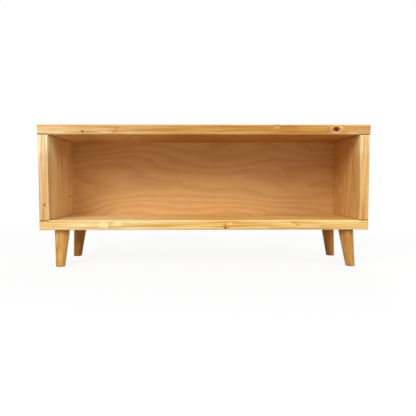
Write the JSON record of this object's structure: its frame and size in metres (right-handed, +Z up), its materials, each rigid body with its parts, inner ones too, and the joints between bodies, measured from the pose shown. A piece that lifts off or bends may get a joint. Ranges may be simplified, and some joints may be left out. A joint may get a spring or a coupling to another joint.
{
  "type": "record storage stand",
  "caption": "Long, low, open-fronted wooden storage stand: thick pine boards, closed plywood back, splayed tapered legs.",
  "frame": {"origin": "on the floor, under the middle of the case", "axes": "+Z up, +X to the right along the case as seen from the open front, -Y out of the open front"},
  "size_m": [1.279, 0.35, 0.555],
  "materials": {
    "pine_board": "warm honey oil or wax on planed softwood, satin, with grain and small knots",
    "plywood_panel": "softwood-faced plywood, the same warm oil, satin",
    "leg_wood": "turned softwood, a slightly deeper orange brown than the boards, satin",
    "dowel_wood": "bare beech",
    "brass_insert": "turned brass, bright",
    "steel_fastener": "zinc plated"
  },
  "bodies": {
    "root": {"top_board": "pine_board", "bottom_board": "pine_board", "left_side_board": "pine_board", "right_side_board": "pine_board", "back_panel": "plywood_panel", "front_left_leg": "leg_wood", "front_right_leg": "leg_wood", "rear_left_leg": "leg_wood", "rear_right_leg": "leg_wood", "front_left_threaded_insert": "brass_insert", "front_right_threaded_insert": "brass_insert", "rear_left_threaded_insert": "brass_insert", "rear_right_threaded_insert": "brass_insert", "front_left_hanger_bolt": "steel_fastener", "front_right_hanger_bolt": "steel_fastener", "rear_left_hanger_bolt": "steel_fastener", "rear_right_hanger_bolt": "steel_fastener", "back_panel_screw_1": "steel_fastener", "back_panel_screw_2": "steel_fastener", "back_panel_screw_3": "steel_fastener", "back_panel_screw_4": "steel_fastener", "back_panel_screw_5": "steel_fastener", "back_panel_screw_6": "steel_fastener", "back_panel_screw_7": "steel_fastener", "back_panel_screw_8": "steel_fastener", "back_panel_screw_9": "steel_fastener", "back_panel_screw_10": "steel_fastener", "back_panel_screw_11": "steel_fastener", "back_panel_screw_12": "steel_fastener", "top_left_dowel_1": "dowel_wood", "top_left_dowel_2": "dowel_wood", "top_left_dowel_3": "dowel_wood", "top_right_dowel_1": "dowel_wood", "top_right_dowel_2": "dowel_wood", "top_right_dowel_3": "dowel_wood", "bottom_left_dowel_1": "dowel_wood", "bottom_left_dowel_2": "dowel_wood", "bottom_left_dowel_3": "dowel_wood", "bottom_right_dowel_1": "dowel_wood", "bottom_right_dowel_2": "dowel_wood", "bottom_right_dowel_3": "dowel_wood"}
  },
  "joints": []
}
